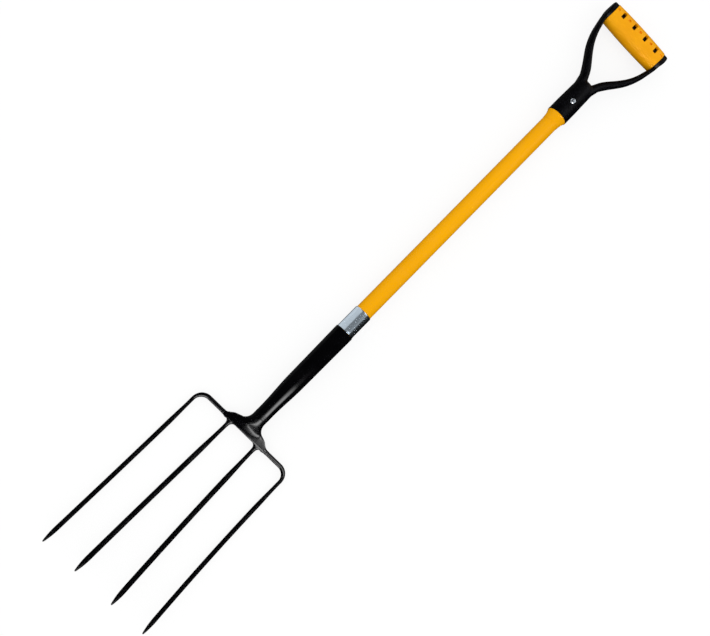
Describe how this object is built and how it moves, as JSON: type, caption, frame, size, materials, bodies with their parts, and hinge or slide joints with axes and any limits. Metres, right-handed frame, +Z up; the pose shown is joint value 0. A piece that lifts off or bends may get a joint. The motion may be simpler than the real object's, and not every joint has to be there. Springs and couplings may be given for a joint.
{
  "type": "pitchfork",
  "caption": "Pitchfork with long round tines welded to a forged crosshead, a socketed fibreglass shaft and a moulded D-handle.",
  "frame": {"origin": "on the surface that the fork lies on, under the middle of its length and width", "axes": "+Y along the shaft towards the D-handle, +Z up from the surface with the tips turned up, +X across the tines"},
  "size_m": [0.213, 1.2483, 0.0406],
  "materials": {
    "black_paint": "gloss",
    "bright_steel": "polished",
    "yellow_fibreglass": "satin gloss",
    "black_plastic": "fine moulded texture",
    "yellow_plastic": "satin",
    "hardwood": "bare"
  },
  "bodies": {
    "root": {"crosshead": "black_paint", "socket_tube": "black_paint", "neck_weld": "black_paint", "tine_outer_left": "black_paint", "tine_inner_left": "black_paint", "tine_inner_right": "black_paint", "tine_outer_right": "black_paint", "weld_outer_left": "black_paint", "weld_inner_left": "black_paint", "weld_inner_right": "black_paint", "weld_outer_right": "black_paint", "socket_pin": "black_paint", "ferrule": "bright_steel", "shaft": "yellow_fibreglass", "shaft_collar": "yellow_fibreglass", "core_plug_lower": "hardwood", "core_plug_upper": "hardwood", "d_handle_yoke": "black_plastic", "grip_sleeve": "yellow_plastic", "handle_rivet": "bright_steel", "rivet_washer": "bright_steel"}
  },
  "joints": []
}
